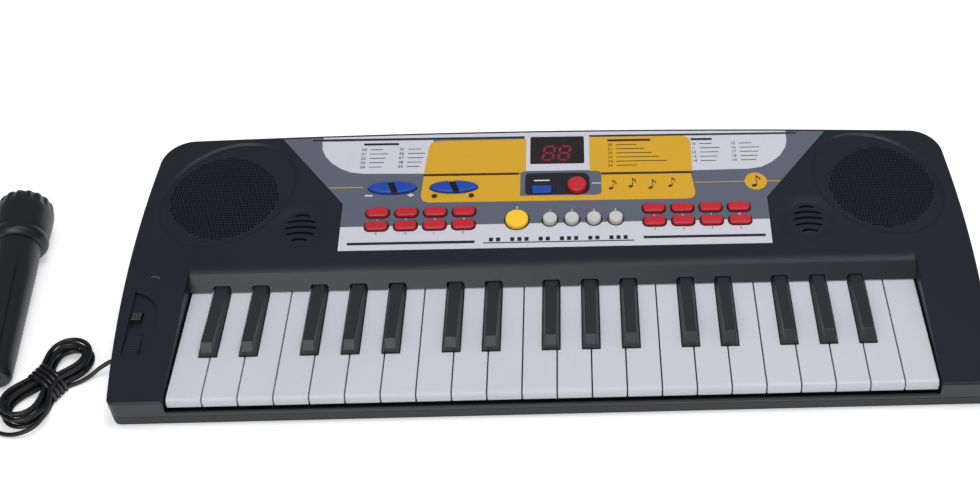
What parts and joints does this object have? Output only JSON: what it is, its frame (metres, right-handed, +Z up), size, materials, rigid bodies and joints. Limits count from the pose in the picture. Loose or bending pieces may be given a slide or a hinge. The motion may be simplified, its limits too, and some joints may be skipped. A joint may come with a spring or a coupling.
{
  "type": "toy keyboard",
  "caption": "Battery toy keyboard with mini keys, round speakers, a sloping button panel with a display, and a hand microphone on a cord folded into a hank.",
  "frame": {"origin": "centre of the bottom case's flat underside in X, half way along the case's depth", "axes": "+X to the player's right along the keys, +Y away from the player, +Z up"},
  "size_m": [0.5818, 0.1989, 0.0399],
  "materials": {
    "top_shell": "moulded blue-black styrene, fine satin texture",
    "base_shell": "moulded black styrene, coarser matt texture",
    "white_keys": "smooth moulded styrene, slightly cool white",
    "black_keys": "moulded styrene, satin",
    "panel": "thin panel, screen printed in greys, yellow and black",
    "display": "dark smoked window",
    "red_buttons": "moulded red, satin",
    "blue_buttons": "moulded blue, satin",
    "yellow_button": "moulded yellow, satin",
    "grey_buttons": "moulded light grey, satin",
    "board": "glass-fibre laminate",
    "speaker": "plated steel basket and magnet",
    "microphone": "moulded black, satin",
    "cord": "smooth black vinyl"
  },
  "bodies": {
    "case": {"bottom_case": "base_shell", "contact_board": "board", "control_panel": "panel", "cord_hank": "cord", "cord_lead": "cord", "cord_tail": "cord", "display_window": "display", "main_board": "board", "mic_handle": "microphone", "mic_head": "microphone", "speaker_left": "speaker", "speaker_right": "speaker", "top_case": "top_shell"},
    "black_key_01": {"black_key_01": "black_keys"},
    "black_key_02": {"black_key_02": "black_keys"},
    "black_key_03": {"black_key_03": "black_keys"},
    "black_key_04": {"black_key_04": "black_keys"},
    "black_key_05": {"black_key_05": "black_keys"},
    "black_key_06": {"black_key_06": "black_keys"},
    "black_key_07": {"black_key_07": "black_keys"},
    "black_key_08": {"black_key_08": "black_keys"},
    "black_key_09": {"black_key_09": "black_keys"},
    "black_key_10": {"black_key_10": "black_keys"},
    "black_key_11": {"black_key_11": "black_keys"},
    "black_key_12": {"black_key_12": "black_keys"},
    "black_key_13": {"black_key_13": "black_keys"},
    "black_key_14": {"black_key_14": "black_keys"},
    "black_key_15": {"black_key_15": "black_keys"},
    "white_key_01": {"white_key_01": "white_keys"},
    "white_key_02": {"white_key_02": "white_keys"},
    "white_key_03": {"white_key_03": "white_keys"},
    "white_key_04": {"white_key_04": "white_keys"},
    "white_key_05": {"white_key_05": "white_keys"},
    "white_key_06": {"white_key_06": "white_keys"},
    "white_key_07": {"white_key_07": "white_keys"},
    "white_key_08": {"white_key_08": "white_keys"},
    "white_key_09": {"white_key_09": "white_keys"},
    "white_key_10": {"white_key_10": "white_keys"},
    "white_key_11": {"white_key_11": "white_keys"},
    "white_key_12": {"white_key_12": "white_keys"},
    "white_key_13": {"white_key_13": "white_keys"},
    "white_key_14": {"white_key_14": "white_keys"},
    "white_key_15": {"white_key_15": "white_keys"},
    "white_key_16": {"white_key_16": "white_keys"},
    "white_key_17": {"white_key_17": "white_keys"},
    "white_key_18": {"white_key_18": "white_keys"},
    "white_key_19": {"white_key_19": "white_keys"},
    "white_key_20": {"white_key_20": "white_keys"},
    "white_key_21": {"white_key_21": "white_keys"},
    "white_key_22": {"white_key_22": "white_keys"},
    "red_buttons_left": {"red_buttons_left": "red_buttons"},
    "red_buttons_right": {"red_buttons_right": "red_buttons"},
    "grey_buttons": {"grey_buttons": "grey_buttons"},
    "drum_button": {"drum_button": "yellow_button"},
    "stop_button": {"stop_button": "red_buttons"},
    "demo_button": {"demo_button": "blue_buttons"},
    "volume_rocker": {"volume_rocker": "blue_buttons"},
    "tempo_rocker": {"tempo_rocker": "blue_buttons"},
    "power_switch": {"power_switch": "top_shell"},
    "battery_cover": {"battery_cover": "base_shell"}
  },
  "joints": [
    {"name": "black_key_01_press", "type": "hinge", "parent": "case", "child": "black_key_01", "pos_m": [-0.1915, -0.002, 0.0132], "axis": [1, 0, 0], "range_deg": [0, 3.2], "stiffness_Nm_per_rad": 0.5, "springref_deg": -2.86},
    {"name": "black_key_02_press", "type": "hinge", "parent": "case", "child": "black_key_02", "pos_m": [-0.1695, -0.002, 0.0132], "axis": [1, 0, 0], "range_deg": [0, 3.2], "stiffness_Nm_per_rad": 0.5, "springref_deg": -2.86},
    {"name": "black_key_03_press", "type": "hinge", "parent": "case", "child": "black_key_03", "pos_m": [-0.1363, -0.002, 0.0132], "axis": [1, 0, 0], "range_deg": [0, 3.2], "stiffness_Nm_per_rad": 0.5, "springref_deg": -2.86},
    {"name": "black_key_04_press", "type": "hinge", "parent": "case", "child": "black_key_04", "pos_m": [-0.114, -0.002, 0.0132], "axis": [1, 0, 0], "range_deg": [0, 3.2], "stiffness_Nm_per_rad": 0.5, "springref_deg": -2.86},
    {"name": "black_key_05_press", "type": "hinge", "parent": "case", "child": "black_key_05", "pos_m": [-0.0917, -0.002, 0.0132], "axis": [1, 0, 0], "range_deg": [0, 3.2], "stiffness_Nm_per_rad": 0.5, "springref_deg": -2.86},
    {"name": "black_key_06_press", "type": "hinge", "parent": "case", "child": "black_key_06", "pos_m": [-0.0585, -0.002, 0.0132], "axis": [1, 0, 0], "range_deg": [0, 3.2], "stiffness_Nm_per_rad": 0.5, "springref_deg": -2.86},
    {"name": "black_key_07_press", "type": "hinge", "parent": "case", "child": "black_key_07", "pos_m": [-0.0365, -0.002, 0.0132], "axis": [1, 0, 0], "range_deg": [0, 3.2], "stiffness_Nm_per_rad": 0.5, "springref_deg": -2.86},
    {"name": "black_key_08_press", "type": "hinge", "parent": "case", "child": "black_key_08", "pos_m": [-0.0033, -0.002, 0.0132], "axis": [1, 0, 0], "range_deg": [0, 3.2], "stiffness_Nm_per_rad": 0.5, "springref_deg": -2.86},
    {"name": "black_key_09_press", "type": "hinge", "parent": "case", "child": "black_key_09", "pos_m": [0.019, -0.002, 0.0132], "axis": [1, 0, 0], "range_deg": [0, 3.2], "stiffness_Nm_per_rad": 0.5, "springref_deg": -2.86},
    {"name": "black_key_10_press", "type": "hinge", "parent": "case", "child": "black_key_10", "pos_m": [0.0413, -0.002, 0.0132], "axis": [1, 0, 0], "range_deg": [0, 3.2], "stiffness_Nm_per_rad": 0.5, "springref_deg": -2.86},
    {"name": "black_key_11_press", "type": "hinge", "parent": "case", "child": "black_key_11", "pos_m": [0.0745, -0.002, 0.0132], "axis": [1, 0, 0], "range_deg": [0, 3.2], "stiffness_Nm_per_rad": 0.5, "springref_deg": -2.86},
    {"name": "black_key_12_press", "type": "hinge", "parent": "case", "child": "black_key_12", "pos_m": [0.0965, -0.002, 0.0132], "axis": [1, 0, 0], "range_deg": [0, 3.2], "stiffness_Nm_per_rad": 0.5, "springref_deg": -2.86},
    {"name": "black_key_13_press", "type": "hinge", "parent": "case", "child": "black_key_13", "pos_m": [0.1297, -0.002, 0.0132], "axis": [1, 0, 0], "range_deg": [0, 3.2], "stiffness_Nm_per_rad": 0.5, "springref_deg": -2.86},
    {"name": "black_key_14_press", "type": "hinge", "parent": "case", "child": "black_key_14", "pos_m": [0.152, -0.002, 0.0132], "axis": [1, 0, 0], "range_deg": [0, 3.2], "stiffness_Nm_per_rad": 0.5, "springref_deg": -2.86},
    {"name": "black_key_15_press", "type": "hinge", "parent": "case", "child": "black_key_15", "pos_m": [0.1743, -0.002, 0.0132], "axis": [1, 0, 0], "range_deg": [0, 3.2], "stiffness_Nm_per_rad": 0.5, "springref_deg": -2.86},
    {"name": "white_key_01_press", "type": "hinge", "parent": "case", "child": "white_key_01", "pos_m": [-0.1995, -0.002, 0.0132], "axis": [1, 0, 0], "range_deg": [0, 2.2], "stiffness_Nm_per_rad": 0.5, "springref_deg": -2.86},
    {"name": "white_key_02_press", "type": "hinge", "parent": "case", "child": "white_key_02", "pos_m": [-0.1805, -0.002, 0.0132], "axis": [1, 0, 0], "range_deg": [0, 2.2], "stiffness_Nm_per_rad": 0.5, "springref_deg": -2.86},
    {"name": "white_key_03_press", "type": "hinge", "parent": "case", "child": "white_key_03", "pos_m": [-0.1615, -0.002, 0.0132], "axis": [1, 0, 0], "range_deg": [0, 2.2], "stiffness_Nm_per_rad": 0.5, "springref_deg": -2.86},
    {"name": "white_key_04_press", "type": "hinge", "parent": "case", "child": "white_key_04", "pos_m": [-0.1425, -0.002, 0.0132], "axis": [1, 0, 0], "range_deg": [0, 2.2], "stiffness_Nm_per_rad": 0.5, "springref_deg": -2.86},
    {"name": "white_key_05_press", "type": "hinge", "parent": "case", "child": "white_key_05", "pos_m": [-0.1235, -0.002, 0.0132], "axis": [1, 0, 0], "range_deg": [0, 2.2], "stiffness_Nm_per_rad": 0.5, "springref_deg": -2.86},
    {"name": "white_key_06_press", "type": "hinge", "parent": "case", "child": "white_key_06", "pos_m": [-0.1045, -0.002, 0.0132], "axis": [1, 0, 0], "range_deg": [0, 2.2], "stiffness_Nm_per_rad": 0.5, "springref_deg": -2.86},
    {"name": "white_key_07_press", "type": "hinge", "parent": "case", "child": "white_key_07", "pos_m": [-0.0855, -0.002, 0.0132], "axis": [1, 0, 0], "range_deg": [0, 2.2], "stiffness_Nm_per_rad": 0.5, "springref_deg": -2.86},
    {"name": "white_key_08_press", "type": "hinge", "parent": "case", "child": "white_key_08", "pos_m": [-0.0665, -0.002, 0.0132], "axis": [1, 0, 0], "range_deg": [0, 2.2], "stiffness_Nm_per_rad": 0.5, "springref_deg": -2.86},
    {"name": "white_key_09_press", "type": "hinge", "parent": "case", "child": "white_key_09", "pos_m": [-0.0475, -0.002, 0.0132], "axis": [1, 0, 0], "range_deg": [0, 2.2], "stiffness_Nm_per_rad": 0.5, "springref_deg": -2.86},
    {"name": "white_key_10_press", "type": "hinge", "parent": "case", "child": "white_key_10", "pos_m": [-0.0285, -0.002, 0.0132], "axis": [1, 0, 0], "range_deg": [0, 2.2], "stiffness_Nm_per_rad": 0.5, "springref_deg": -2.86},
    {"name": "white_key_11_press", "type": "hinge", "parent": "case", "child": "white_key_11", "pos_m": [-0.0095, -0.002, 0.0132], "axis": [1, 0, 0], "range_deg": [0, 2.2], "stiffness_Nm_per_rad": 0.5, "springref_deg": -2.86},
    {"name": "white_key_12_press", "type": "hinge", "parent": "case", "child": "white_key_12", "pos_m": [0.0095, -0.002, 0.0132], "axis": [1, 0, 0], "range_deg": [0, 2.2], "stiffness_Nm_per_rad": 0.5, "springref_deg": -2.86},
    {"name": "white_key_13_press", "type": "hinge", "parent": "case", "child": "white_key_13", "pos_m": [0.0285, -0.002, 0.0132], "axis": [1, 0, 0], "range_deg": [0, 2.2], "stiffness_Nm_per_rad": 0.5, "springref_deg": -2.86},
    {"name": "white_key_14_press", "type": "hinge", "parent": "case", "child": "white_key_14", "pos_m": [0.0475, -0.002, 0.0132], "axis": [1, 0, 0], "range_deg": [0, 2.2], "stiffness_Nm_per_rad": 0.5, "springref_deg": -2.86},
    {"name": "white_key_15_press", "type": "hinge", "parent": "case", "child": "white_key_15", "pos_m": [0.0665, -0.002, 0.0132], "axis": [1, 0, 0], "range_deg": [0, 2.2], "stiffness_Nm_per_rad": 0.5, "springref_deg": -2.86},
    {"name": "white_key_16_press", "type": "hinge", "parent": "case", "child": "white_key_16", "pos_m": [0.0855, -0.002, 0.0132], "axis": [1, 0, 0], "range_deg": [0, 2.2], "stiffness_Nm_per_rad": 0.5, "springref_deg": -2.86},
    {"name": "white_key_17_press", "type": "hinge", "parent": "case", "child": "white_key_17", "pos_m": [0.1045, -0.002, 0.0132], "axis": [1, 0, 0], "range_deg": [0, 2.2], "stiffness_Nm_per_rad": 0.5, "springref_deg": -2.86},
    {"name": "white_key_18_press", "type": "hinge", "parent": "case", "child": "white_key_18", "pos_m": [0.1235, -0.002, 0.0132], "axis": [1, 0, 0], "range_deg": [0, 2.2], "stiffness_Nm_per_rad": 0.5, "springref_deg": -2.86},
    {"name": "white_key_19_press", "type": "hinge", "parent": "case", "child": "white_key_19", "pos_m": [0.1425, -0.002, 0.0132], "axis": [1, 0, 0], "range_deg": [0, 2.2], "stiffness_Nm_per_rad": 0.5, "springref_deg": -2.86},
    {"name": "white_key_20_press", "type": "hinge", "parent": "case", "child": "white_key_20", "pos_m": [0.1615, -0.002, 0.0132], "axis": [1, 0, 0], "range_deg": [0, 2.2], "stiffness_Nm_per_rad": 0.5, "springref_deg": -2.86},
    {"name": "white_key_21_press", "type": "hinge", "parent": "case", "child": "white_key_21", "pos_m": [0.1805, -0.002, 0.0132], "axis": [1, 0, 0], "range_deg": [0, 2.2], "stiffness_Nm_per_rad": 0.5, "springref_deg": -2.86},
    {"name": "white_key_22_press", "type": "hinge", "parent": "case", "child": "white_key_22", "pos_m": [0.1995, -0.002, 0.0132], "axis": [1, 0, 0], "range_deg": [0, 2.2], "stiffness_Nm_per_rad": 0.5, "springref_deg": -2.86},
    {"name": "red_buttons_left_press", "type": "slide", "parent": "case", "child": "red_buttons_left", "axis": [0, 0.1063, -0.9943], "range_m": [0, 0.0012], "stiffness_N_per_m": 800, "springref_m": -0.0005},
    {"name": "red_buttons_right_press", "type": "slide", "parent": "case", "child": "red_buttons_right", "axis": [0, 0.1063, -0.9943], "range_m": [0, 0.0012], "stiffness_N_per_m": 800, "springref_m": -0.0005},
    {"name": "grey_buttons_press", "type": "slide", "parent": "case", "child": "grey_buttons", "axis": [0, 0.1063, -0.9943], "range_m": [0, 0.0012], "stiffness_N_per_m": 800, "springref_m": -0.0005},
    {"name": "drum_button_press", "type": "slide", "parent": "case", "child": "drum_button", "axis": [0, 0.1063, -0.9943], "range_m": [0, 0.0012], "stiffness_N_per_m": 800, "springref_m": -0.0005},
    {"name": "stop_button_press", "type": "slide", "parent": "case", "child": "stop_button", "axis": [0, 0.1063, -0.9943], "range_m": [0, 0.0012], "stiffness_N_per_m": 800, "springref_m": -0.0005},
    {"name": "demo_button_press", "type": "slide", "parent": "case", "child": "demo_button", "axis": [0, 0.1063, -0.9943], "range_m": [0, 0.0012], "stiffness_N_per_m": 800, "springref_m": -0.0005},
    {"name": "volume_rocker_tilt", "type": "hinge", "parent": "case", "child": "volume_rocker", "pos_m": [-0.0985, 0.05011, 0.03253], "axis": [0, 0.9943, 0.1063], "range_deg": [-3, 3], "stiffness_Nm_per_rad": 0.2},
    {"name": "tempo_rocker_tilt", "type": "hinge", "parent": "case", "child": "tempo_rocker", "pos_m": [-0.0617, 0.05011, 0.03253], "axis": [0, 0.9943, 0.1063], "range_deg": [-3, 3], "stiffness_Nm_per_rad": 0.2},
    {"name": "power_switch_slide", "type": "slide", "parent": "case", "child": "power_switch", "axis": [0, -0.9943, -0.1063], "range_m": [0, 0.004]},
    {"name": "battery_cover_tilt", "type": "hinge", "parent": "case", "child": "battery_cover", "pos_m": [0, 0.0283, 0], "axis": [-1, 0, 0], "range_deg": [0, 60]}
  ]
}
